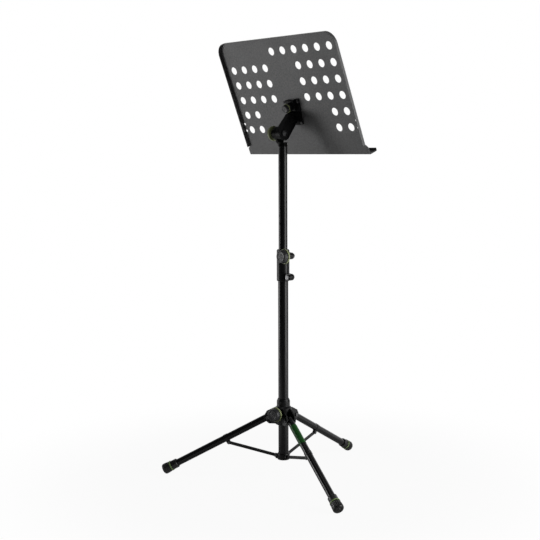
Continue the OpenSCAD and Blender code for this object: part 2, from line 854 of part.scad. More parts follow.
module at_hole(column, row) {
    middle = (len(PATTERN[0]) - 1) / 2;
    translate([(column - middle) * hole_pitch, top_row_y - row * hole_pitch, 0]) children();
}

// Rivets hold the bracket: two beside the knob, two at its foot
RIVETS = [
    [bracket_top_in - 5.5, desk_knob_up + 7], [-bracket_top_w + 7, desk_knob_up + 11],
    [bracket_foot_w - 5.5, -18], [-bracket_foot_w + 5.5, -18]
];
rivet_r = 2.4;
rivet_head_r = rivet_r + 2;
sunk_h = 1.1;

// Hole through the sheet, countersunk on the player's side so that pages slide over the fastener
module flush_hole(r) {
    over = 1;
    cylinder(r = r + seat, h = big / 2);
    translate([0, 0, sheet_z + desk_t - sunk_h])
        cylinder(r1 = r + seat, r2 = r + seat + sunk_h + over, h = sunk_h + over);
}

module desk_plate() {
    color(DESK_GREY) at_desk() difference() {
        union() {
            difference() {
                translate([0, 0, sheet_z + desk_t - rim_d]) linear_extrude(rim_d) panel2d(0);
                translate([0, 0, sheet_z - rim_d]) linear_extrude(rim_d) panel2d(desk_t);
                translate([-panel_w + desk_t, rim_foot_y - 1, sheet_z - rim_d])
                    cube([2 * (panel_w - desk_t), 2, rim_d]);
            }
            translate([0, 0, sheet_z]) linear_extrude(desk_t) polygon([
                [-desk_w / 2, lower_y + skirt_h - 1], [desk_w / 2, lower_y + skirt_h - 1],
                [desk_w / 2, lower_y + skirt_h], [panel_w, rim_foot_y],
                [-panel_w, rim_foot_y], [-desk_w / 2, lower_y + skirt_h]
            ]);
            translate([-desk_w / 2, lower_y, sheet_z]) rotate([90, 0, 90]) linear_extrude(desk_w)
                mirror([1, -1]) lip2d();
        }
        rim_bend();
        for (row = [0:len(PATTERN) - 1], column = [0:len(PATTERN[0]) - 1])
            if (PATTERN[row][len(PATTERN[0]) - 1 - column] == "x")
                at_hole(column, row) cylinder(r = hole_d / 2, h = big / 2);
        both_sides_x() for (side = [-0.5, 0.5])
            translate([desk_w / 2 - clip_in, clip_up - pivot_up + side * clip_pitch, 0])
                cylinder(r = clip_hole_d / 2, h = big / 2);
        for (p = RIVETS) translate([p[0], p[1], 0]) flush_hole(rivet_r);
        translate([0, desk_knob_up, 0]) flush_hole(stud_r);
    }
}

stud_r = bolt_r * 0.75;
bracket_eye = 14;
block_h = 12;
block_l = 30;
block_y = desk_knob_up - 13;
small_foot = knob_foot_l * small_knob;
boss_h = 22 - small_foot;

// Outline of the bracket's ear, in height and depth; it spreads to the flange
module bracket_ear2d() {
    circle(r = bracket_eye);
    polygon([
        [-bracket_eye - 10, pivot_gap - flange_t / 2], [-bracket_eye, 0],
        [bracket_eye, 0], [bracket_eye + 16, pivot_gap - flange_t / 2]
    ]);
}

module bracket_flange2d() {
    r = 4;
    top = desk_knob_up + 20;
    hull() {
        translate([r - bracket_top_w, top - r]) circle(r = r, $fn = 32);
        translate([bracket_top_in - r, top - 7 - r]) circle(r = r, $fn = 32);
        both_sides_x() translate([bracket_foot_w - r, -24 + r]) circle(r = r, $fn = 32);
    }
}

module desk_bracket() {
    window = arm_top_r + 1.2;
    grooves = 2;
    groove_t = 1.6;
    fin_z = hex_r + 2;
    color(BLACK) at_desk() difference() {
        union() {
            translate([0, 0, sheet_z - flange_t]) linear_extrude(flange_t - seat) bracket_flange2d();
            plate_x(joint_x, ear_out) bracket_ear2d();
            both_sides_x() plate_x(ear_out - 0.1, ear_out + 7)
                polygon([
                    [-12.5, sheet_z - flange_t / 2], [-11, fin_z], [13, fin_z], [18, sheet_z - flange_t / 2]
                ]);
            translate([-ear_out - 6, block_y, sheet_z - block_h])
                cube([2 * ear_out + 12, block_l, block_h - flange_t / 2]);
            translate([0, desk_knob_up, sheet_z - boss_h]) cylinder(r = 12, h = boss_h - flange_t / 2);
        }
        plate_x(-joint_x, joint_x) circle(r = window);
        for (n = [1:grooves])
            both_sides_x() translate([ear_out + 3.5, -20, fin_z + (2 * n - 1) * groove_t])
                cube([big, block_y + 18, groove_t]);
        rotate([0, 90, 0]) cylinder(r = bolt_r + seat, h = big, center = true);
        for (p = RIVETS) translate([p[0], p[1], 0]) {
            cylinder(r = rivet_r + seat, h = big / 2);
            translate([0, 0, -flange_t]) cylinder(r = rivet_head_r + pass, h = sheet_z);
        }
        translate([0, desk_knob_up, -big / 4]) cylinder(r = stud_r + seat, h = big);
    }
}

module bracket_rivets() {
    head = 1.6;
    color(STEEL) at_desk() for (p = RIVETS) translate([p[0], p[1], 0]) {
        translate([0, 0, sheet_z - flange_t - seat - head]) cylinder(r1 = rivet_r + 0.9, r2 = rivet_head_r, h = head);
        translate([0, 0, sheet_z - flange_t - seat]) cylinder(r = rivet_r, h = flange_t + desk_t);
        translate([0, 0, sheet_z + desk_t - sunk_h - seat])
            cylinder(r1 = rivet_r, r2 = rivet_r + sunk_h - seat, h = sunk_h);
    }
}

// Threaded stud with a flush head on the player's side; the desk knob runs on it
module desk_stud() {
    color(STEEL) at_stud() translate([0, 0, seat - desk_t]) {
        cylinder(r1 = stud_r + sunk_h - seat, r2 = stud_r, h = sunk_h);
        cylinder(r = stud_r, h = desk_t + boss_h + pass + small_foot + 3);
    }
}

// Its round head lies flush in the arm
module tilt_bolt() {
    color(STEEL) at_desk() rotate([0, 90, 0]) translate([0, 0, -arm_t / 2]) {
        cylinder(r = hex_r, h = hex_h);
        cylinder(r = bolt_r, h = arm_t / 2 + ear_out + seat + hex_h + 2);
    }
}

module tilt_nut() {
    color(STEEL) at_desk() rotate([0, 90, 0]) translate([0, 0, ear_out + seat]) difference() {
        hexagon(hex_r, hex_h);
        translate([0, 0, -1]) cylinder(r = bolt_r + seat, h = hex_h + 2);
    }
}

module tilt_washers() {
    color(NYLON) at_desk() washer_pair();
}

module desk_knob() {
    color(CHARCOAL) at_stud() translate([0, 0, boss_h + pass]) knob_grip(small_knob, 11, stud_r);
}

module desk_knob_ring() {
    color(GREEN) at_stud() translate([0, 0, boss_h + pass]) knob_ring(small_knob);
}

lower_tube();
base_bracket();
base_pins();
clutch_sleeve();
clutch_bush();
lock_bolt();
lock_nut();
clutch_bolt();
clutch_knob();
clutch_ring();
leg_hub();
leg_pins();
hub_knob();
hub_ring();
hub_screw();
brace(LEFT);  // brace_left
brace(RIGHT);  // brace_right
brace(FRONT);  // brace_front
leg_tube(LEFT);  // leg_tube_left
leg_tube(RIGHT);  // leg_tube_right
leg_tube(FRONT);  // leg_tube_front
leg_plug(LEFT);  // leg_plug_left
leg_plug(RIGHT);  // leg_plug_right
leg_plug(FRONT);  // leg_plug_front
foot(LEFT);  // foot_left
foot(RIGHT);  // foot_right
foot(FRONT);  // foot_front
foot_ring(LEFT);  // foot_ring_left
foot_ring(RIGHT);  // foot_ring_right
foot_ring(FRONT);  // foot_ring_front
brace_lug(LEFT);  // brace_lug_left
brace_lug(RIGHT);  // brace_lug_right
brace_lug(FRONT);  // brace_lug_front
lug_pin(LEFT);  // lug_pin_left
lug_pin(RIGHT);  // lug_pin_right
lug_pin(FRONT);  // lug_pin_front
leg_band();
guide_bush();
upper_tube();
mast_plug();
mast_head();
arm_bolt();
arm_washers();
arm();
arm_knob();
arm_ring();
desk_plate();
desk_bracket();
bracket_rivets();
desk_stud();
tilt_bolt();
tilt_nut();
tilt_washers();
desk_knob();
desk_knob_ring();
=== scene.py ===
"""A folding music stand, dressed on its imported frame.

The frame brings every solid of the stand. This script gives each one its finish, and builds finer
knobs, feet, brace straps and fasteners in the places of the plain ones. Lengths are in metres.
"""

import json
import logging
import math
from collections.abc import Callable, Mapping, Sequence
from dataclasses import dataclass, field
from enum import Enum
from typing import Any

import bpy
import numpy as np
from mathutils import Matrix, Vector


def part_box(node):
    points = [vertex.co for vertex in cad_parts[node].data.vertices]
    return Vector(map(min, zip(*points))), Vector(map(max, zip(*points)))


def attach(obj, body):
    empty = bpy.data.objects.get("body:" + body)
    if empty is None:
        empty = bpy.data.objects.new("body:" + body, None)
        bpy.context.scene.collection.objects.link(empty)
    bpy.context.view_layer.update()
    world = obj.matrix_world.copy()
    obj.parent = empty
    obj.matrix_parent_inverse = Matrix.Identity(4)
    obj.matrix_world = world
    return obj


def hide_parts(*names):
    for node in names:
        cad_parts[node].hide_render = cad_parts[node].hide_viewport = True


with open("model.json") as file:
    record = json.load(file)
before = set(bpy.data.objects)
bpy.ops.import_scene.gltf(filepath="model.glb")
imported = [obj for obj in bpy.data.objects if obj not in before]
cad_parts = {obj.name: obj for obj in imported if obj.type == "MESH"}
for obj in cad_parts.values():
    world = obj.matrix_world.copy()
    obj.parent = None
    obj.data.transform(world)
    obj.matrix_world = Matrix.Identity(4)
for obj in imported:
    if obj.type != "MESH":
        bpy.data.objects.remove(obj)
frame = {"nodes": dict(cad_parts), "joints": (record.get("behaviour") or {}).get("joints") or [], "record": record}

LOG = logging.getLogger("music_stand")
Triple = tuple[float, float, float]
Colour = Triple
FaceTest = Callable[[Vector, Vector], bool]
WHITE: Colour = (1.0, 1.0, 1.0)
UP = Vector((0, 0, 1))


# ---- Shader graph ----


class Signal:
    """A shader socket that takes part in arithmetic; each operation adds a Math node."""

    def __init__(self, graph: "Graph", socket: bpy.types.NodeSocket | None) -> None:
        """Holds the socket and the graph that it belongs to."""
        self.graph = graph
        self.socket = socket

    def __add__(self, other: "Operand") -> "Signal":
        """Sum."""
        return self.graph.math("ADD", self, other)

    __radd__ = __add__

    def __sub__(self, other: "Operand") -> "Signal":
        """Difference."""
        return self.graph.math("SUBTRACT", self, other)

    def __rsub__(self, other: "Operand") -> "Signal":
        """Difference from a number."""
        return self.graph.math("SUBTRACT", other, self)

    def __mul__(self, other: "Operand") -> "Signal":
        """Product."""
        return self.graph.math("MULTIPLY", self, other)

    def ramp(self, low: float, high: float) -> "Signal":
        """Goes smoothly from 0 at low to 1 at high.

        Args:
            low: The value that gives 0.
            high: The value that gives 1.

        Returns:
            The eased signal.
        """
        return self.graph.node(
            "ShaderNodeMapRange",
            {"interpolation_type": "SMOOTHSTEP"},
            {"Value": self, "From Min": low, "From Max": high},
        )


Operand = Signal | float


class Graph:
    """A node tree under construction, for a material or the world."""

    def __init__(self, owner: bpy.types.Material | bpy.types.World) -> None:
        """Clears the owner's nodes."""
        owner.use_nodes = True
        self.tree = owner.node_tree
        self.tree.nodes.clear()

    def node(
        self,
        kind: str,
        settings: Mapping[str, Any] | None = None,
        sockets: Mapping[str | int, Any] | None = None,
        result: str | int = 0,
    ) -> Signal:
        """Adds one node.

        Args:
            kind: The node's type.
            settings: Its settings, and "stops" for a ramp as (position, colour) pairs.
            sockets: Values or signals for its inputs, by name or number.
            result: The output that is wanted.

        Returns:
            That output as a signal.
        """
        node = self.tree.nodes.new(kind)
        for name, value in (settings or {}).items():
            if name == "stops":
                self._stops(node.color_ramp, value)
            else:
                setattr(node, name, value)
        for key, value in (sockets or {}).items():
            self.join(value, node.inputs[key])
        return Signal(self, node.outputs[result] if node.outputs else None)

    @staticmethod
    def _stops(ramp: bpy.types.ColorRamp, stops: Sequence[tuple[float, Colour]]) -> None:
        """Writes a ramp's stops."""
        while len(ramp.elements) < len(stops):
            ramp.elements.new(1.0)
        for element, (position, colour) in zip(ramp.elements, stops):
            element.position = position
            element.color = (*colour, 1.0)

    def join(self, value: Any, socket: bpy.types.NodeSocket) -> None:
        """Links a signal to a socket, or writes a plain value on it."""
        if isinstance(value, Signal):
            self.tree.links.new(value.socket, socket)
        elif isinstance(value, tuple) and len(value) == 3 and socket.type == "RGBA":
            socket.default_value = (*value, 1.0)
        else:
            socket.default_value = value

    def math(self, operation: str, first: Operand, second: Operand) -> Signal:
        """One Math node on two operands."""
        return self.node("ShaderNodeMath", {"operation": operation}, {0: first, 1: second})

    def vectors(self, operation: str, first: Any, second: Any) -> Signal:
        """One Vector Math node that gives a number, on two vectors."""
        return self.node(
            "ShaderNodeVectorMath", {"operation": operation}, {0: first, 1: second}, "Value"
        )

    def ray(self, kind: str) -> Signal:
        """1 for light paths of one kind, such as "Camera" or "Glossy", and 0 for others."""
        return self.node("ShaderNodeLightPath", result=f"Is {kind} Ray")

    def mix(self, factor: Operand, first: Any, second: Any) -> Signal:
        """Blends two colours by a factor."""
        return self.node(
            "ShaderNodeMix", {"data_type": "RGBA"}, {0: factor, 6: first, 7: second}, 2
        )

    def place(self) -> Signal:
        """Object coordinates, which are the stand's own frame in metres."""
        return self.node("ShaderNodeTexCoord", result="Object")

    def stretched(self, scale: Triple) -> Signal:
        """Object coordinates scaled along each axis, for patterns drawn out one way."""
        return self.node("ShaderNodeMapping", {}, {"Vector": self.place(), "Scale": scale})

    def noise(
        self, size: float, detail: float = 2.0, where: Signal | None = None, rough: float = 0.5
    ) -> Signal:
        """Cloudy noise.

        Args:
            size: Width of its clouds in metres.
            detail: Octaves of finer noise on top.
            where: Coordinates, the object's own if left out.
            rough: Weight of the finer octaves.

        Returns:
            A signal around 0.5.
        """
        return self.node(
            "ShaderNodeTexNoise",
            {},
            {
                "Vector": where or self.place(),
                "Scale": 1 / size,
                "Detail": detail,
                "Roughness": rough,
            },
        )

    def cells(self, size: float) -> Signal:
        """Distance to the nearest of scattered points that lie about size apart."""
        return self.node("ShaderNodeTexVoronoi", {}, {"Vector": self.place(), "Scale": 1 / size})

    def rounded(self, radius: float) -> Signal:
        """A normal that turns softly over edges, as a paint film or a mould radius does."""
        return self.node("ShaderNodeBevel", {"samples": 4}, {"Radius": radius})

    def edge(self, soft: Signal) -> Signal:
        """How far the soft normal leans from the true one: 1 on an edge, 0 on a flat."""
        true = self.node("ShaderNodeNewGeometry", result="Normal")
        return (1 - self.vectors("DOT_PRODUCT", soft, true)).ramp(0.01, 0.2)

    def height(self) -> Signal:
        """Height above the floor at rest, in metres."""
        return self.node("ShaderNodeSeparateXYZ", {}, {0: self.place()}, "Z")


# ---- Finishes ----


@dataclass(frozen=True)
class Coating:
    """What a finish hands to the shader; signals or plain values."""

    colour: Any
    roughness: Operand
    relief: Signal
    relief_depth: float
    metallic: Operand = 0.0


@dataclass(frozen=True)
class Finish:
    """What every finish shares; edge_radius is how softly its film turns over edges."""

    name: str
    colour: Colour
    roughness: float
    edge_radius: float
    specular: float = 0.5

    def coating(self, graph: Graph, edge_mask: Signal) -> Coating:
        """Builds the finish's patterns.

        Args:
            graph: The material's graph.
            edge_mask: Edge mask, 1 on an edge; most finishes lighten it as wear, and the powder coat darkens it as
                painted shade.

        Returns:
            The coating.
        """
        raise NotImplementedError

    def tint(self, factor: float) -> Colour:
        """The finish's colour made lighter or darker."""
        return tuple(min(1.0, c * factor) for c in self.colour)

    def material(self) -> bpy.types.Material:
        """Makes the material.

        Returns:
            The material, whose surface varies in colour, roughness and relief.
        """
        material = bpy.data.materials.new(self.name)
        graph = Graph(material)
        soft = graph.rounded(self.edge_radius)
        coat = self.coating(graph, graph.edge(soft))
        normal = graph.node(
            "ShaderNodeBump",
            {},
            {"Height": coat.relief, "Distance": coat.relief_depth, "Normal": soft},
        )
        shader = graph.node(
            "ShaderNodeBsdfPrincipled",
            {},
            {
                "Base Color": coat.colour,
                "Roughness": coat.roughness,
                "Metallic": coat.metallic,
                "Specular IOR Level": self.specular,
                "Normal": normal,
            },
        )
        graph.node("ShaderNodeOutputMaterial", {}, {"Surface": shader})
        return material


@dataclass(frozen=True)
class PowderCoat(Finish):
    """Baked powder on sheet: a fine even grain over a slight orange peel."""

    grain: float = 0.0009
    grain_depth: float = 0.00012

    def coating(self, graph: Graph, edge_mask: Signal) -> Coating:
        """Grain, orange peel, faint clouds in the gloss, and painted shade that darkens folds and edges."""
        grain = graph.noise(self.grain, 3.0)
        peel = graph.noise(self.grain * 6, 1.0)
        cloud = graph.noise(0.09, 3.0)
        speck = graph.noise(self.grain * 4.0, 3.0)
        shade = (cloud * 0.4 + (speck - 0.5) * 4.0).ramp(-0.7, 1.2)
        flat = graph.mix(shade, self.tint(0.82), self.tint(1.6))
        return Coating(
            # Painted shade: edges and folds, such as the desk's rim, are darkened in the colour as if they lay in
            # shadow.
            colour=graph.mix(edge_mask * 0.9, flat, self.tint(0.15)),
            roughness=self.roughness + (cloud - 0.5) * 0.1 + (grain - 0.5) * 0.12,
            relief=grain + peel * 0.6,
            relief_depth=self.grain_depth,
        )


@dataclass(frozen=True)
class Enamel(Finish):
    """Glossy stove enamel: deep black, faint orange peel and hairline rubs along the tube."""

    rubs: Colour = (1.0, 1.0, 0.02)

    def coating(self, graph: Graph, edge_mask: Signal) -> Coating:
        """Orange peel, rubs drawn out along the tube, dust and paler edges."""
        peel = graph.noise(0.004, 1.0)
        rub = graph.noise(0.0016, 2.0, graph.stretched(self.rubs)).ramp(0.63, 0.74)
        cloud = graph.noise(0.05, 3.0)
        dust = graph.noise(0.0011, 1.0).ramp(0.7, 0.8)
        shade = (rub * 0.35 + dust * 0.45 + edge_mask * 0.6).ramp(0.0, 1.4)
        return Coating(
            colour=graph.mix(shade, self.colour, self.tint(3.4)),
            roughness=self.roughness + rub * 0.14 + (cloud - 0.5) * 0.08 + dust * 0.1,
            relief=peel + rub * 0.15,
            relief_depth=0.00005,
        )


@dataclass(frozen=True)
class Casting(Finish):
    """Painted die casting: a pebbled skin with small pits."""

    pebble: float = 0.0016

    def coating(self, graph: Graph, edge_mask: Signal) -> Coating:
        """Pebbles, pits and rubbed edges."""
        pebble = graph.noise(self.pebble, 3.0)
        pits = graph.cells(self.pebble * 2.4).ramp(0.0, 0.3)
        cloud = graph.noise(0.02, 3.0)
        shade = ((cloud - 0.3) * 0.6 + edge_mask * 0.9).ramp(0.0, 1.2)
        return Coating(
            colour=graph.mix(shade, self.colour, self.tint(2.4)),
            roughness=self.roughness + (cloud - 0.5) * 0.16 + (pebble - 0.5) * 0.1,
            relief=pebble + pits * 0.3,
            relief_depth=0.0002,
        )


@dataclass(frozen=True)
class Moulding(Finish):
    """Spark-textured plastic: a tight matt grain, polished where it is handled."""

    grain: float = 0.0006
    grain_depth: float = 0.00007
    lift: float = 1.7

    def coating(self, graph: Graph, edge_mask: Signal) -> Coating:
        """Grain, slow flow marks and polished edges."""
        grain = graph.noise(self.grain, 2.0)
        flow = graph.noise(0.018, 2.0)
        shade = ((flow - 0.35) * 0.5 + (grain - 0.5) * 0.5 + edge_mask * 0.6).ramp(-0.1, 1.0)
        return Coating(
            colour=graph.mix(shade, self.tint(0.85), self.tint(self.lift)),
            roughness=self.roughness + (flow - 0.5) * 0.14 - edge_mask * 0.1,
            relief=grain,
            relief_depth=self.grain_depth,
        )


@dataclass(frozen=True)
class Rubber(Finish):
    """Foot rubber: matt, with pores, and chalky where it meets the floor."""

    def coating(self, graph: Graph, edge_mask: Signal) -> Coating:
        """Pores, and dust that thins out above the floor."""
        pores = graph.noise(0.0008, 3.0)
        blotch = graph.noise(0.006, 3.0)
        dust = (1 - graph.height().ramp(0.0, 0.014)) * blotch.ramp(0.35, 0.75)
        shade = (dust * 0.8 + edge_mask * 0.35 + (blotch - 0.5) * 0.3).ramp(0.0, 1.1)
        return Coating(
            colour=graph.mix(shade, self.colour, self.tint(4.0)),
            roughness=self.roughness + dust * 0.15 + (pores - 0.5) * 0.12,
            relief=pores + blotch * 0.3,
            relief_depth=0.00012,
        )


@dataclass(frozen=True)
class Film(Finish):
    """A plain printed band: flat colour under a clear film with slight ripples."""

    def coating(self, graph: Graph, edge_mask: Signal) -> Coating:
        """Ink mottle, ripples and a paler cut edge."""
        ink = graph.noise(0.0012, 2.0)
        ripple = graph.noise(0.011, 2.0)
        shade = ((ink - 0.5) * 0.5 + (ripple - 0.4) * 0.6 + edge_mask * 0.7).ramp(-0.2, 1.0)
        return Coating(
            colour=graph.mix(shade, self.tint(0.75), self.tint(1.5)),
            roughness=self.roughness + (ripple - 0.5) * 0.1,
            relief=ripple + ink * 0.05,
            relief_depth=0.0002,
        )


@dataclass(frozen=True)
class BlackenedSteel(Finish):
    """Fasteners: blackened zinc, thin on the edges where the metal shows."""

    def coating(self, graph: Graph, edge_mask: Signal) -> Coating:
        """Fine turning marks, a mottled blackening and bright edges."""
        marks = graph.noise(0.0005, 2.0, graph.stretched((1.0, 0.2, 1.0)))
        mottle = graph.noise(0.003, 3.0)
        shade = (edge_mask * 0.9 + (mottle - 0.5) * 0.5).ramp(0.0, 1.0)
        return Coating(
            colour=graph.mix(shade, self.colour, self.tint(3.0)),
            roughness=self.roughness + (marks - 0.5) * 0.2,
            relief=marks,
            relief_depth=0.00003,
            metallic=0.75 + edge_mask * 0.2,
        )


class Slot(Enum):
    """The material slots, each with its label and finish: name, colour, roughness and the rest."""

    TUBE = "tube_black", Enamel(
        "tube enamel", (0.0055, 0.0055, 0.006), 0.26, edge_radius=0.0004, specular=0.28
    )
    BRACE = "brace_black", Enamel(
        "brace enamel", (0.007, 0.007, 0.0075), 0.3, edge_radius=0.0005, specular=0.32
    )
    DESK = "desk_sheet", PowderCoat(
        "desk powder coat", (0.056, 0.056, 0.057), 0.5, edge_radius=0.0005
    )
    CAST_GREY = "cast_grey", Casting(
        "neck casting", (0.003, 0.003, 0.003), 0.34, edge_radius=0.0011, specular=0.03
    )
    CAST_BLACK = "cast_black", Casting(
        "arm casting", (0.008, 0.008, 0.0084), 0.34, edge_radius=0.0011, specular=0.05
    )
    MOULDED = "moulded_black", Moulding(
        "glass-filled nylon", (0.007, 0.007, 0.0075), 0.36, edge_radius=0.0009, specular=0.25
    )
    KNOB = "knob_charcoal", Moulding(
        "knob moulding", (0.02, 0.02, 0.022), 0.42, edge_radius=0.0006, specular=0.35
    )
    CAP = "knob_cap", Moulding(
        "cap moulding", (0.026, 0.026, 0.028), 0.34, edge_radius=0.0004, specular=0.42
    )
    RING = "ring_green", Moulding(
        "green ring moulding", (0.3, 0.34, 0.165), 0.42, edge_radius=0.0004, lift=1.3
    )
    FOOT_RING = "foot_ring_green", Moulding(
        "foot ring moulding", (0.24, 0.36, 0.13), 0.42, edge_radius=0.0004, lift=1.35
    )
    RUBBER = "foot_rubber", Rubber(
        "foot rubber", (0.006, 0.006, 0.0061), 0.36, edge_radius=0.0008
    )
    BAND = "band_green", Film(
        "green band", (0.01, 0.09, 0.012), 0.42, edge_radius=0.0002, specular=0.16
    )
    NYLON = "nylon_black", Moulding(
        "plain nylon", (0.02, 0.02, 0.02), 0.45, edge_radius=0.0004
    )
    STEEL = "fastener_steel", BlackenedSteel(
        "bright fasteners", (0.1, 0.1, 0.103), 0.34, edge_radius=0.0003
    )

    @property
    def label(self) -> str:
        """The slot's name in the record."""
        return self.value[0]

    @property
    def finish(self) -> Finish:
        """The slot's finish."""
        return self.value[1]


class Wardrobe:
    """Makes each finish once and puts it on nodes and pieces."""

    def __init__(self) -> None:
        """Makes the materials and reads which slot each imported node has."""
        self.made = {slot.label: slot.finish.material() for slot in Slot}
        self.slot_of = {
            row["node"]: row["material_slot"] for row in frame["record"]["subparts"]
        }

    def dress_node(self, name: str) -> None:
        """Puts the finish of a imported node's own slot on it."""
        for slot in frame["nodes"][name].material_slots:
            slot.material = self.made[self.slot_of[name]]

    def deliver(self, piece: bpy.types.Object, slot: Slot, body: str, *nodes: str) -> None:
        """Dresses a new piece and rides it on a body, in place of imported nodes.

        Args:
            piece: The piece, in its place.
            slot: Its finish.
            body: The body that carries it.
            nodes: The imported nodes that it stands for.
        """
        piece.data.materials.clear()
        piece.data.materials.append(self.made[slot.label])
        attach(piece, body)
        if nodes:
            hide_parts(*nodes)
        LOG.info("%s rides on %s, %d faces", piece.name, body, len(piece.data.polygons))


# ---- Places, read from the frame ----


@dataclass(frozen=True)
class Seat:
    """Where a piece sits: an origin and the direction of its own z."""

    origin: Vector
    along: Vector

    def matrix(self, sideways: Vector | None = None) -> Matrix:
        """The placing transform.

        Args:
            sideways: A direction that the piece's own x should lean to.

        Returns:
            A matrix from the piece's own axes to the frame.
        """
        z = self.along.normalized()
        hint = sideways or (UP if abs(z.z) < 0.9 else Vector((1, 0, 0)))
        x = (hint - z * hint.dot(z)).normalized()
        y = z.cross(x)
        turn = Matrix((x, y, z)).transposed().to_4x4()
        return Matrix.Translation(self.origin) @ turn

    def reach(self, node: str) -> tuple[float, float]:
        """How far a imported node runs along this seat, lowest and highest."""
        along = [(v.co - self.origin).dot(self.along) for v in frame["nodes"][node].data.vertices]
        return min(along), max(along)

    def radius(self, node: str, height: float | None = None, near: float = 0.0002) -> float:
        """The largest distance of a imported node's surface from this seat's axis.

        Args:
            node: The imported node.
            height: Looks only at this height along the axis, if given.
            near: How far from that height a point may lie.

        Returns:
            The radius in metres.
        """
        best = 0.0
        for vertex in frame["nodes"][node].data.vertices:
            arm = vertex.co - self.origin
            along = arm.dot(self.along)
            if height is None or abs(along - height) < near:
                best = max(best, (arm - self.along * along).length)
        return best


def middle(node: str) -> Vector:
    """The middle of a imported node's box."""
    low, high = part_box(node)
    return (low + high) / 2


def joint(name: str) -> dict[str, Any]:
    """A joint of the record by name."""
    return next(j for j in frame["joints"] if j["name"] == name)


def ring_seat(ring: str, beyond: str) -> Seat:
    """The axis of a flat ring, pointing to the bulk of another node on it.

    Args:
        ring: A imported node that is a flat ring.
        beyond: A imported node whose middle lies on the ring's positive side.

    Returns:
        A seat at the middle of the ring.
    """
    points = np.array([v.co for v in frame["nodes"][ring].data.vertices])
    centre = middle(ring)
    spread = points - np.array(centre)
    axis = Vector(np.linalg.eigh(spread.T @ spread)[1][:, 0])
    if axis.dot(middle(beyond) - centre) < 0:
        axis = -axis
    return Seat(centre, axis)


def leg_seat(side: str) -> Seat:
    """A leg's axis, from its foot's ring and pointing down the leg."""
    axis = ring_seat(f"foot_ring_{side}", f"foot_{side}")
    return axis if axis.along.z < 0 else Seat(axis.origin, -axis.along)


# ---- Modelling ----

CLEARANCE = 0.00005  # between a piece and the hole that it sits in
STEP = 0.00002  # height that a sharp shoulder takes in a turned profile
PAST = 0.001  # how far a drill goes past what it cuts


def column(centre: Vector, sides: int) -> int:
    """Which column of faces a point lies in, counted round z from x."""
    return int(math.atan2(centre.y, centre.x) % math.tau / math.tau * sides)


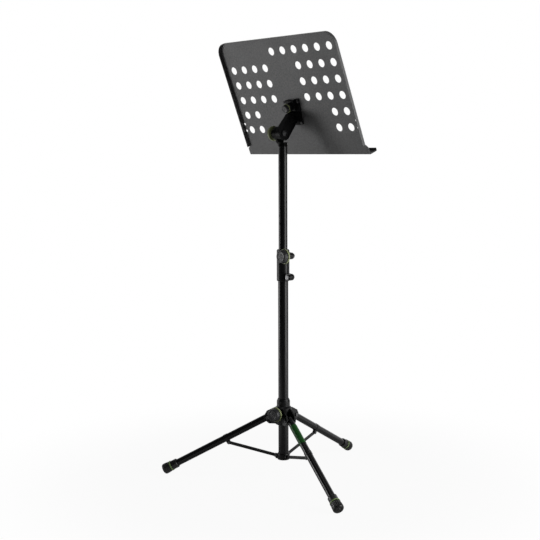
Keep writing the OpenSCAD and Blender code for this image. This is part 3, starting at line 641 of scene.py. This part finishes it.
class Blank:
    """A piece being shaped about its own origin with edit-mode tools, then put in its seat."""

    def __init__(self, name: str) -> None:
        """Starts with nothing selected."""
        self.name = name
        bpy.ops.object.select_all(action="DESELECT")

    @property
    def piece(self) -> bpy.types.Object:
        """The object being shaped."""
        return bpy.data.objects[self.name]

    def _adopt(self) -> None:
        """Takes the primitive that was just added as this piece."""
        bpy.context.object.name = self.name
        bpy.context.object.data.name = self.name

    def turn_profile(self, profile: Sequence[tuple[float, float]], sides: int) -> "Blank":
        """Raises a round form from a disc, one extrusion for each step of its profile.

        Args:
            profile: (radius, height) from the foot to the face; none of the radii is zero.
            sides: Number of faces around.

        Returns:
            This blank.
        """
        (radius, height), steps = profile[0], profile[1:]
        bpy.ops.mesh.primitive_circle_add(vertices=sides, radius=radius, fill_type="NGON")
        self._adopt()
        bpy.ops.object.mode_set(mode="EDIT")
        bpy.ops.mesh.select_all(action="SELECT")
        bpy.ops.transform.translate(value=(0, 0, height))
        for wider, higher in steps:
            bpy.ops.mesh.extrude_region_move(
                TRANSFORM_OT_translate={"value": (0, 0, higher - height)}
            )
            share = wider / radius
            bpy.ops.transform.resize(value=(share, share, 1), center_override=(0, 0, higher))
            radius, height = wider, higher
        bpy.ops.mesh.select_all(action="SELECT")
        bpy.ops.mesh.remove_doubles(threshold=1e-7)
        bpy.ops.mesh.normals_make_consistent(inside=False)
        bpy.ops.object.mode_set(mode="OBJECT")
        return self

    def block(self, low: Triple, high: Triple, taper: float = 1.0) -> "Blank":
        """Raises a block between two corners, narrowed along z towards its +x end.

        Args:
            low: Its lowest corner.
            high: Its highest corner.
            taper: Height of the +x end as a share of the other end's.

        Returns:
            This blank.
        """
        size = Vector(high) - Vector(low)
        bpy.ops.mesh.primitive_cube_add(size=1.0)
        self._adopt()
        self.piece.data.transform(
            Matrix.Translation((Vector(high) + Vector(low)) / 2) @ Matrix.Diagonal((*size, 1.0))
        )
        self.pick_faces(lambda centre, normal: normal.x > 0.9)
        middle_z = (high[2] + low[2]) / 2
        bpy.ops.transform.resize(value=(1, 1, taper), center_override=(0, 0, middle_z))
        bpy.ops.object.mode_set(mode="OBJECT")
        return self

    def pick_faces(self, wanted: FaceTest) -> None:
        """Selects, in face mode, the faces whose middle and normal pass a test."""
        bpy.ops.object.mode_set(mode="EDIT")
        bpy.ops.mesh.select_mode(type="FACE")
        bpy.ops.mesh.select_all(action="DESELECT")
        bpy.ops.object.mode_set(mode="OBJECT")
        for face in self.piece.data.polygons:
            face.select = wanted(face.center, face.normal)
        bpy.ops.object.mode_set(mode="EDIT")

    def inset(self, wanted: FaceTest, margin: float, depth: float) -> "Blank":
        """Insets each patch of chosen faces and sinks or raises it."""
        self.pick_faces(wanted)
        bpy.ops.mesh.inset(thickness=margin, depth=depth, use_boundary=True)
        bpy.ops.object.mode_set(mode="OBJECT")
        return self

    def carve(self, cutter: "Blank", operation: str = "DIFFERENCE") -> "Blank":
        """Cuts this piece with another blank, which is used up."""
        tool = cutter.piece
        self._modify("BOOLEAN", operation=operation, object=tool, solver="EXACT")
        bpy.data.objects.remove(tool, do_unlink=True)
        return self

    def _select(self) -> None:
        """Makes this piece the only selected one, and the active one."""
        bpy.ops.object.select_all(action="DESELECT")
        bpy.context.view_layer.objects.active = self.piece
        self.piece.select_set(True)

    def _modify(self, kind: str, **settings: Any) -> None:
        """Adds a modifier, sets it and applies it."""
        self._select()
        bpy.ops.object.modifier_add(type=kind)
        modifier = self.piece.modifiers[-1]
        for name, value in settings.items():
            setattr(modifier, name, value)
        bpy.ops.object.modifier_apply(modifier=modifier.name)

    def ring_of(self, count: int, step: float) -> "Blank":
        """Repeats this blank around z and joins the copies.

        Args:
            count: How many there are in all.
            step: Angle between neighbours, in radians.

        Returns:
            This blank, with its copies.
        """
        self._select()
        first = self.piece
        for n in range(1, count):
            twin = first.copy()
            twin.data = first.data.copy()
            twin.data.transform(Matrix.Rotation(n * step, 4, "Z"))
            bpy.context.scene.collection.objects.link(twin)
            twin.select_set(True)
        bpy.ops.object.join()
        return self

    def soften(self, width: float, segments: int = 2, above: float = 32.0) -> "Blank":
        """Rounds the edges that are sharper than an angle in degrees."""
        self._modify(
            "BEVEL",
            width=width,
            segments=segments,
            limit_method="ANGLE",
            angle_limit=math.radians(above),
            use_clamp_overlap=True,
        )
        return self

    def seat(self, place: Matrix, smooth: float = 40.0) -> bpy.types.Object:
        """Shades the piece smoothly and puts it in place, in its mesh.

        Args:
            place: From the piece's own axes to the frame.
            smooth: Angle below which edges shade smoothly, in degrees.

        Returns:
            The finished object, at the origin and unturned.
        """
        self._select()
        piece = self.piece
        bpy.ops.object.shade_smooth_by_angle(angle=math.radians(smooth))
        piece.data.transform(place)
        piece.matrix_basis = Matrix.Identity(4)
        return piece


def rod(name: str, radius: float, low: float, high: float, sides: int) -> Blank:
    """A plain cylinder or prism about z, from one height to another."""
    return Blank(name).turn_profile([(radius, low), (radius, high)], sides)


# ---- Sub-assemblies ----


@dataclass
class Knob:
    """A fluted clamp knob on a foot, with a green ring at its neck and a cap in its face.

    Its own lengths are those of a knob whose ring has the full ring_radius; others scale them.
    """

    grip: str
    ring: str
    body: str
    carrier: str
    flutes: int = 10
    flute_mouth: float = 0.003
    flute_radius: float = 0.0034
    flute_lead: float = 0.0006
    flute_aside: float = 0.0024
    ring_radius: float = 0.021
    core_share: float = 0.72
    grip_share: float = 0.9286
    face_share: float = 0.87
    shoulder: float = 0.0016
    lip_depth: float = 0.0012
    sides: int = 100
    disc_sides: int = 72
    flute_sides: int = 28

    def __post_init__(self) -> None:
        """Reads the knob's axis, away from its carrier, and its scale, radii and heights."""
        carrier = ring_seat(self.ring, self.carrier)
        axis = Seat(carrier.origin, -carrier.along)
        self.outer = axis.radius(self.ring)
        self.scale = self.outer / self.ring_radius
        low, high = axis.reach(self.grip)
        self.foot = Seat(axis.origin + axis.along * low, axis.along)
        self.length = high - low
        self.ring_low, self.ring_high = self.foot.reach(self.ring)
        self.start_radius = self.foot.radius(self.grip, 0.0)
        self.neck_radius = self.foot.radius(self.grip, self.ring_low * 0.75)
        self.core = self.outer * self.core_share
        self.rim = self.outer * self.grip_share
        self.face = self.rim * self.face_share
        self.lip = self.lip_depth * self.scale
        LOG.info(
            "%s: neck %.1f mm, ring %.1f to %.1f mm, length %.1f mm",
            self.grip,
            *(1000 * v for v in (self.neck_radius, self.ring_low, self.ring_high, self.length)),
        )

    def _profile(self) -> list[tuple[float, float]]:
        """The grip's outline, from the foot to the dished face."""
        grip, face, end = self.rim, self.face, self.length
        edge = self.shoulder * self.scale
        neck = min(self.neck_radius, self.core)
        return [
            (self.start_radius, 0.0),
            (self.neck_radius, self.ring_low * 0.75),
            (self.neck_radius, self.ring_low - CLEARANCE),
            (neck, self.ring_low),
            (neck, self.ring_low + self.lip),
            (self.core, self.ring_low + self.lip + STEP),
            (self.core, self.ring_high),
            (grip - edge / 2, self.ring_high + CLEARANCE),
            (grip, self.ring_high + edge),
            (grip, self.ring_high + 2 * edge),
            ((grip + face) / 2 + edge * 0.3, (self.ring_high + end) / 2),
            (face + edge * 0.35, end - edge),
            (face - edge * 0.1, end - edge * 0.3),
            (face - edge * 0.6, end),
            (face * 0.82, end),
            (face * 0.79, end - 0.0009 * self.scale),
            (face * 0.7, end - 0.0012 * self.scale),
        ]

    def _grip(self) -> bpy.types.Object:
        """The grip, fluted for the fingers."""
        k = self.scale
        blank = Blank(f"{self.grip}_grip").turn_profile(self._profile(), self.sides)
        radius, reach = self.flute_radius * k, self.length - self.ring_high + 4 * PAST
        outline = [(self.flute_mouth * k, 0.0), (radius, self.flute_lead * k), (radius, reach)]
        flute = Blank(f"{self.grip}_flute").turn_profile(outline, self.flute_sides)
        start = (self.rim + self.flute_aside * k, 0, self.ring_high + self.shoulder * k)
        flute.piece.data.transform(Matrix.Translation(start))
        blank.carve(flute.ring_of(self.flutes, math.tau / self.flutes))
        blank.soften(0.0004 * k, above=38)
        return blank.seat(self.foot.matrix())

    def _collar(self) -> bpy.types.Object:
        """The green ring, with a lip that closes in on the neck and notches round its rim."""
        outer, low, high = self.outer, self.ring_low, self.ring_high
        edge = 0.0004 * self.scale
        blank = Blank(f"{self.grip}_collar").turn_profile(
            [(outer - edge, low), (outer, low + edge), (outer, high - edge), (outer - edge, high)],
            self.sides,
        )
        core = self.core + CLEARANCE
        bore = min(core, self.neck_radius + CLEARANCE)
        for name, radius, start in (("bore", bore, low - PAST), ("core", core, low + self.lip)):
            blank.carve(rod(f"{self.grip}_{name}", radius, start, high + PAST, self.disc_sides))

        def notch(centre: Vector, normal: Vector) -> bool:
            """Picks every fifth face of the rim."""
            on_rim = math.hypot(centre.x, centre.y) > outer * 0.97 and abs(normal.z) < 0.2
            return on_rim and column(centre, self.sides) % 5 == 0

        blank.inset(notch, margin=0.0001 * self.scale, depth=-0.0003 * self.scale)
        return blank.seat(self.foot.matrix())

    def _cap(self) -> bpy.types.Object:
        """The disc set in the face, with two plain raised rings and a low centre."""
        k = self.scale
        top = self.length - 0.0004 * k
        low = top - 0.0006 * k
        rings = [(0.775, low - 0.0009 * k), (0.775, top), (0.63, top)]
        for inner, outer in ((0.47, 0.6), (0.2, 0.34)):
            rings += [(outer, low), (inner + 0.03, low), (inner, top), (inner - 0.09, top)]
        rings += [(0.08, low), (0.01, low)]
        outline = [(self.face * share, height) for share, height in rings]
        blank = Blank(f"{self.grip}_cap").turn_profile(outline, self.disc_sides)
        blank.soften(0.00012 * k, segments=1, above=30)
        return blank.seat(self.foot.matrix())

    def build(self, wardrobe: Wardrobe) -> None:
        """Builds, dresses and delivers the grip, its cap and its ring."""
        wardrobe.deliver(self._grip(), Slot.KNOB, self.body, self.grip)
        wardrobe.deliver(self._cap(), Slot.CAP, self.body)
        wardrobe.deliver(self._collar(), Slot.RING, self.body, self.ring)


@dataclass
class Foot:
    """A rubber foot on a leg's end: a ribbed bell with a groove for its green ring."""

    side: str
    mouth_radius: float = 0.01325
    end_radius: float = 0.0155
    tube_radius: float = 0.01005
    lip: float = 0.0012
    groove_half: float = 0.00155
    groove_depth: float = 0.0008
    tread_groove: tuple[float, float] = (0.0055, 0.0075)
    ribs: int = 24
    rib_height: float = 0.0006
    round_end: float = 0.006
    round_steps: int = 6

    def __post_init__(self) -> None:
        """Reads the leg's axis and where the foot and its ring lie on it."""
        axis = leg_seat(self.side)
        low, high = axis.reach(f"foot_{self.side}")
        self.mouth = Seat(axis.origin + axis.along * low, axis.along)
        self.length = high - low
        self.ring = -low

    def _profile(self) -> list[tuple[float, float]]:
        """The bell's outline, from its mouth down to the rounded tread."""
        mouth, wide, end = self.mouth_radius, self.end_radius, self.length
        above, below = self.ring - self.groove_half, self.ring + self.groove_half
        outline = [
            (self.tube_radius + 0.0004, 0.0),
            (mouth - self.lip, 0.0),
            (mouth, 0.0015),
            (mouth + 0.0002, above - self.lip),
            (mouth + 0.0007, above),
            (mouth - self.groove_depth, above + STEP),
            (mouth - self.groove_depth, below),
            (mouth + 0.0009, below + STEP),
            (wide - 0.0003, end * 0.66),
            (wide, end * 0.7),
            (wide, end - self.round_end),
        ]
        for step in range(1, self.round_steps):
            turn = math.pi / 2 * step / self.round_steps
            radius = wide - self.round_end * (1 - math.cos(turn))
            outline.append((radius, end - self.round_end * (1 - math.sin(turn))))
        inner, outer = self.tread_groove
        sunk = end - 0.0008
        outline += [
            (wide - self.round_end, end),
            (outer, end),
            (outer - 0.0004, sunk),
            (inner + 0.0004, sunk),
            (inner, end),
            (0.0005, end),
        ]
        return outline

    def build(self, wardrobe: Wardrobe) -> None:
        """Builds, ribs, dresses and delivers the foot."""
        sides = self.ribs * 4
        blank = Blank(f"foot_{self.side}_bell").turn_profile(self._profile(), sides)
        top, bottom = self.length * 0.5, self.length - self.round_end * 0.6

        def between_ribs(centre: Vector, normal: Vector) -> bool:
            """Picks two columns of side faces out of each four."""
            on_wall = top < centre.z < bottom and abs(normal.z) < 0.6
            return on_wall and column(centre, sides) % 4 in (1, 2)

        blank.inset(between_ribs, margin=0.00022, depth=-self.rib_height)
        blank.soften(0.00025, above=42)
        piece = blank.seat(self.mouth.matrix(), smooth=35)
        wardrobe.deliver(piece, Slot.RUBBER, f"leg_{self.side}", f"foot_{self.side}")


@dataclass
class BraceLug:
    """A thin strap round a leg, pinched under it into two ears that hold the brace."""

    side: str
    leg_radius: float = 0.01005
    strap: float = 0.0009
    width: float = 0.012
    gap: float = 0.0017
    reach: float = 0.0039
    eye: float = 0.0053
    pin_radius: float = 0.00205
    sides: int = 72
    disc_sides: int = 40
    through: float = 0.05
    pin_cut: float = 0.02

    def __post_init__(self) -> None:
        """Reads the strap's place on the leg and the direction of its ears."""
        axis = leg_seat(self.side)
        low, high = axis.reach(f"brace_lug_{self.side}")
        self.seat = Seat(axis.origin + axis.along * (low + high) / 2, axis.along)
        drop = middle(f"lug_pin_{self.side}") - self.seat.origin
        self.down = drop - self.seat.along * drop.dot(self.seat.along)

    def _disc(self, name: str, radius: float, half: float) -> Blank:
        """A disc about the pin."""
        disc = rod(f"brace_lug_{self.side}_{name}", radius, -half, half, self.disc_sides)
        place = Matrix.Translation((self.down.length, 0, 0)) @ Matrix.Rotation(math.pi / 2, 4, "X")
        disc.piece.data.transform(place)
        return disc

    def build(self, wardrobe: Wardrobe) -> None:
        """Builds, dresses and delivers the strap with its ears."""
        name, half, far = f"brace_lug_{self.side}", self.width / 2, self.through
        strap = rod(f"{name}_strap", self.leg_radius + self.strap, -half, half, self.sides)
        ears = Blank(f"{name}_ears").block(
            (0.0, -self.reach, -half), (self.down.length, self.reach, half), self.eye / half
        )
        strap.carve(ears, "UNION")
        strap.carve(self._disc("eye", self.eye, self.reach), "UNION")
        strap.carve(Blank(f"{name}_gap").block((0.0, -self.gap, -far), (far, self.gap, far)))
        strap.carve(rod(f"{name}_leg", self.leg_radius, -far, far, self.sides))
        strap.carve(self._disc("hole", self.pin_radius, self.pin_cut))
        strap.soften(0.0003, above=40)
        piece = strap.seat(self.seat.matrix(self.down), smooth=30)
        wardrobe.deliver(piece, Slot.BRACE, f"leg_{self.side}", name)


@dataclass
class HexBolt:
    """A hexagon bolt or nut with chamfered corners, or a round-headed bolt, for a packed one."""

    node: str
    body: str
    along: Vector
    head_low: float
    head_high: float
    head_radius: float
    shank_radius: float
    bore_radius: float = 0.0
    through: Vector | None = None
    sides: int = 6
    slot: Slot = Slot.STEEL
    round_sides: int = 36
    face_share: float = 0.9
    chamfer: float = 0.0005
    clear: float = 0.00001
    sunk: float = 0.0004
    pitch: float = 0.00125
    most_turns: int = 5
    root_share: float = 0.87
    tip_share: float = 0.86

    def build(self, wardrobe: Wardrobe) -> None:
        """Builds, dresses and delivers the fastener."""
        seat = Seat(self.through or middle(self.node), self.along)
        low, high = seat.reach(self.node)
        head = self._head(low, high)
        if self.shank_radius:
            outline = self._shank(low, high)
            shank = Blank(f"{self.node}_shank").turn_profile(outline, self.round_sides)
            shank.soften(0.0003, above=40)
            shank.seat(Matrix.Identity(4))
            head.carve(shank, "UNION")
        if self.bore_radius:
            bore = (self.bore_radius, low - PAST, high + PAST, self.round_sides)
            head.carve(rod(f"{self.node}_bore", *bore))
        piece = head.seat(seat.matrix(), smooth=30)
        wardrobe.deliver(piece, self.slot, self.body, self.node)

    def _span(self, low: float, high: float) -> tuple[float, float]:
        """The head's two faces along the axis; negative numbers count from the far end."""
        first = low + self.head_low if self.head_low >= 0 else high + self.head_low
        last = low + self.head_high if self.head_high > 0 else high + self.head_high
        return first, last

    def _head(self, low: float, high: float) -> Blank:
        """A hexagon cut by a turned blank, which leaves the chamfers, or a round head."""
        first, last = self._span(low, high)
        r, face, edge = self.head_radius, self.head_radius * self.face_share, self.chamfer
        if self.sides > 6:
            return Blank(f"{self.node}_bolt").turn_profile(
                [(r - edge, first), (r, first + edge), (r, last)], self.sides
            )
        kind = "nut" if self.bore_radius else "bolt"
        head = rod(f"{self.node}_{kind}", r, first, last, self.sides)
        drop = (r - r * math.cos(math.pi / self.sides)) * 0.62
        wide = r + self.clear
        turned = Blank(f"{self.node}_turned").turn_profile(
            [(face, first), (wide, first + drop), (wide, last - drop), (face, last)], 60
        )
        head.carve(turned, "INTERSECT")
        head.soften(0.00012, above=25)
        return head

    def _shank(self, low: float, high: float) -> list[tuple[float, float]]:
        """The shank, with a few turns of thread suggested at its free end."""
        first, last = self._span(low, high)
        r, pitch = self.shank_radius, self.pitch
        if first - low > high - last:
            start, end, sign = first, low, -1
        else:
            start, end, sign = last, high, 1
        span = abs(end - start)
        turns = min(self.most_turns, int(span / (2 * pitch)))
        threads = span - turns * pitch - self.chamfer
        outline = [(r, start - sign * self.sunk)]
        for n in range(turns):
            outline.append((r, start + sign * (threads + n * pitch)))
            outline.append((r * self.root_share, start + sign * (threads + (n + 0.5) * pitch)))
        outline += [(r, start + sign * (span - 0.0006)), (r * self.tip_share, end)]
        return outline if sign > 0 else outline[::-1]


@dataclass
class Fasteners:
    """The bolts and nuts that show on the head and the clutch."""

    hex_radius: float = 0.00752
    hex_height: float = 0.004
    tall_height: float = 0.005
    shank: float = 0.004

    def build(self, wardrobe: Wardrobe) -> None:
        """Builds every fastener."""
        across = Vector((1, 0, 0))
        back = Vector((0, 1, 0))
        h, tall, r, s = self.hex_height, self.tall_height, self.hex_radius, self.shank
        hole = s + CLEARANCE
        arm = Vector(joint("arm_tilt")["pos_m"])
        tilt = Vector(joint("desk_tilt")["pos_m"])
        for bolt in (
            HexBolt("lock_bolt", "column", back, -tall, 0.0, r, s),
            HexBolt("lock_nut", "column", back, 0.0, h, r, 0.0, hole),
            HexBolt("clutch_bolt", "column", back, 0.0, tall, r, s),
            HexBolt("arm_bolt", "mast", across, 0.0, h, r, s, through=arm),
            HexBolt("tilt_bolt", "desk", across, 0.0, h, r, s, 0.0, tilt, 48, Slot.CAST_BLACK),
            HexBolt("tilt_nut", "desk", across, 0.0, h, r, 0.0, hole, through=tilt),
        ):
            bolt.build(wardrobe)


@dataclass(frozen=True)
class Lamp:
    """A soft lamp that faces the middle of the stand.

    Attributes:
        name: The lamp's name.
        aside: Distance to the camera's right of the column.
        nearer: Distance from the column towards the camera.
        up: Height above the floor.
        size: Width and height of the lamp.
        watts: Its power.
    """

    name: str
    aside: float
    nearer: float
    up: float
    size: tuple[float, float]
    watts: float


@dataclass
class Studio:
    """A pale floor under soft lamps, and the camera."""

    camera_offset: Triple = (-2.26904, 2.05223, 0.94808)
    heading: float = -0.7230
    dip: float = 0.1103
    roll: float = 0.0036
    lens: float = 71.69
    aim_height: float = 0.75
    floor_reach: float = 2.0
    floor_behind: float = 0.9
    floor_drop: float = 0.0004
    lamps: tuple[Lamp, ...] = (
        Lamp("key softbox", aside=-2.27, nearer=-0.45, up=0.3, size=(0.75, 1.1), watts=17.5),
        Lamp("side softbox", aside=2.2, nearer=1.0, up=0.75, size=(1.5, 2.4), watts=60.0),
        Lamp("top softbox", aside=-0.3, nearer=0.4, up=3.2, size=(1.6, 1.6), watts=8.0),
    )

    def __post_init__(self) -> None:
        """Finds the column's axis on the floor and the camera's level directions."""
        centre = middle("lower_tube")
        self.column = Vector((centre.x, centre.y, 0.0))
        self.ahead = Vector((math.cos(self.heading), math.sin(self.heading), 0.0))
        self.right = Vector((math.sin(self.heading), -math.cos(self.heading), 0.0))

    def camera(self) -> None:
        """Places the camera by its offset from the column."""
        ahead = self.ahead * math.cos(self.dip) - UP * math.sin(self.dip)
        down = ahead.cross(self.right)
        turn = math.cos(self.roll), math.sin(self.roll)
        right = self.right * turn[0] + down * turn[1]
        down = down * turn[0] - self.right * turn[1]
        data = bpy.data.cameras.new("camera")
        data.lens = self.lens
        data.sensor_width = 36.0
        data.clip_start, data.clip_end = 0.05, 60.0
        camera = bpy.data.objects.new("camera", data)
        facing = Matrix((right, -down, -ahead)).transposed().to_4x4()
        spot = self.column + Vector(self.camera_offset)
        camera.matrix_world = Matrix.Translation(spot) @ facing
        bpy.context.scene.collection.objects.link(camera)
        bpy.context.scene.camera = camera

    def hang(self, lamp: Lamp) -> None:
        """Hangs a lamp and turns it to the stand."""
        data = bpy.data.lights.new(lamp.name, "AREA")
        data.shape = "RECTANGLE"
        data.size, data.size_y = lamp.size
        data.energy = lamp.watts
        light = bpy.data.objects.new(lamp.name, data)
        spot = self.column + self.right * lamp.aside - self.ahead * lamp.nearer + UP * lamp.up
        aim = self.column + UP * self.aim_height
        facing = (aim - spot).to_track_quat("-Z", "Y").to_matrix().to_4x4()
        light.matrix_world = Matrix.Translation(spot) @ facing
        bpy.context.scene.collection.objects.link(light)

    def world(self) -> None:
        """A white room to the eye, which shines softly from behind and beside the stand."""
        world = bpy.data.worlds.new("white room")
        bpy.context.scene.world = world
        graph = Graph(world)
        seen, mirrored = graph.ray("Camera"), graph.ray("Glossy") + graph.ray("Transmission")
        outward = graph.node("ShaderNodeTexCoord", result="Generated")
        facing = graph.vectors("DOT_PRODUCT", outward, tuple(self.ahead))
        backdrop = 0.02 + facing.ramp(0.25, 0.95) * 0.98
        level = seen + (1 - seen) * (mirrored * backdrop + (1 - mirrored) * 0.12)
        light = graph.node("ShaderNodeBackground", {}, {"Color": WHITE, "Strength": level})
        graph.node("ShaderNodeOutputWorld", {}, {"Surface": light})

    def floor(self) -> None:
        """A pale floor that fades to white away from the stand and keeps its shadow."""
        bpy.ops.object.select_all(action="DESELECT")
        bpy.ops.mesh.primitive_circle_add(vertices=96, radius=self.floor_reach, fill_type="NGON")
        floor = bpy.context.object
        floor.name = "floor"
        centre = self.column + self.ahead * self.floor_behind - UP * self.floor_drop
        floor.data.transform(Matrix.Translation(centre))
        material = bpy.data.materials.new("pale floor")
        graph = Graph(material)
        place = graph.place()
        away = graph.vectors("DISTANCE", place, tuple(self.column))
        across = graph.vectors("DOT_PRODUCT", place, tuple(self.right))
        across = across - self.column.dot(self.right)
        seen, mirrored = graph.ray("Camera"), graph.ray("Glossy") + graph.ray("Transmission")
        pale = graph.mix(graph.noise(0.03, 2.0), (0.6, 0.6, 0.6), (0.64, 0.64, 0.64))
        paint = graph.node("ShaderNodeBsdfDiffuse", {}, {"Color": pale})
        glow = graph.node("ShaderNodeEmission", {}, {"Color": WHITE, "Strength": 1.0})
        reflected = (across * across).ramp(0.01, 0.3) * 0.9 + 0.05
        fade = away.ramp(0.4, 1.05) * 0.06 + 0.94
        share = (seen + mirrored * reflected) * fade
        blend = graph.node("ShaderNodeMixShader", {}, {0: share, 1: paint, 2: glow})
        graph.node("ShaderNodeOutputMaterial", {}, {"Surface": blend})
        floor.data.materials.append(material)

    def build(self) -> None:
        """Builds the floor, lamps, world and camera."""
        self.floor()
        self.world()
        for lamp in self.lamps:
            self.hang(lamp)
        self.camera()
        bpy.context.scene.view_settings.view_transform = "Standard"


@dataclass
class MusicStand:
    """The whole stand."""

    wardrobe: Wardrobe = field(default_factory=Wardrobe)

    def knobs(self) -> list[Knob]:
        """The four clamp knobs."""
        return [
            Knob("clutch_knob", "clutch_ring", "clutch_knob", "clutch_sleeve"),
            Knob("hub_knob", "hub_ring", "hub_knob", "leg_hub"),
            Knob("arm_knob", "arm_ring", "arm_knob", "mast_head"),
            Knob("desk_knob", "desk_knob_ring", "desk_knob", "desk_bracket"),
        ]

    def build(self) -> None:
        """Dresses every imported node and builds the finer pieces."""
        for name in frame["nodes"]:
            self.wardrobe.dress_node(name)
        for knob in self.knobs():
            knob.build(self.wardrobe)
        for side in ("left", "right", "front"):
            Foot(side).build(self.wardrobe)
            BraceLug(side).build(self.wardrobe)
        Fasteners().build(self.wardrobe)


def main() -> None:
    """Builds the stand and its studio."""
    logging.basicConfig(level=logging.INFO, format="%(name)s: %(message)s")
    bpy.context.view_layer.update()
    MusicStand().build()
    Studio().build()


if __name__ == "__main__":
    main()
